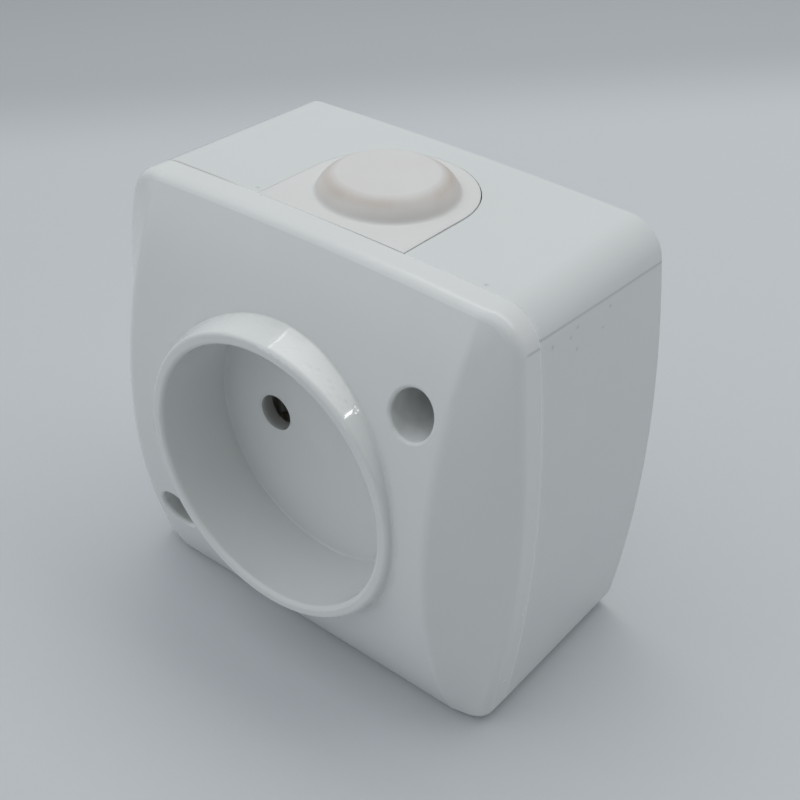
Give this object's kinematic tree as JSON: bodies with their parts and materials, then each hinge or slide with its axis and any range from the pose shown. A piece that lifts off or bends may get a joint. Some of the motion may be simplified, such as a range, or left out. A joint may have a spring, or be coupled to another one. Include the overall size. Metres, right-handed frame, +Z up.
{
  "type": "wall socket",
  "caption": "Surface-mounted wall socket: square box with bowed sides, arched cover with a round plug well, deep-set cover screws and a soft cable grommet in the top.",
  "frame": {"origin": "middle of the wall face, on the axis of the plug well", "axes": "+Y into the wall, +Z up, +X to the right seen from the front"},
  "size_m": [0.0702, 0.0423, 0.0694],
  "materials": {
    "cover_plastic": "glossy white moulding",
    "box_plastic": "glossy white moulding, slightly duller sides",
    "grommet_rubber": "soft off-white moulding, matt, a little soiled",
    "carrier_plastic": "matt ivory moulding",
    "contact_brass": "bright stamped brass",
    "spring_steel": "blued spring strip",
    "plated_steel": "bright zinc plate"
  },
  "bodies": {
    "root": {"front_cover": "cover_plastic", "back_box": "box_plastic", "cable_grommet": "grommet_rubber", "contact_carrier": "carrier_plastic", "cover_screw_upper": "plated_steel", "carrier_screw_upper": "plated_steel", "cover_screw_lower": "plated_steel", "carrier_screw_lower": "plated_steel", "contact_clip_left": "contact_brass", "contact_spring_left": "spring_steel", "terminal_nut_left": "contact_brass", "clamp_plate_left": "plated_steel", "terminal_screw_left": "plated_steel", "contact_clip_right": "contact_brass", "contact_spring_right": "spring_steel", "terminal_nut_right": "contact_brass", "clamp_plate_right": "plated_steel", "terminal_screw_right": "plated_steel"}
  },
  "joints": []
}
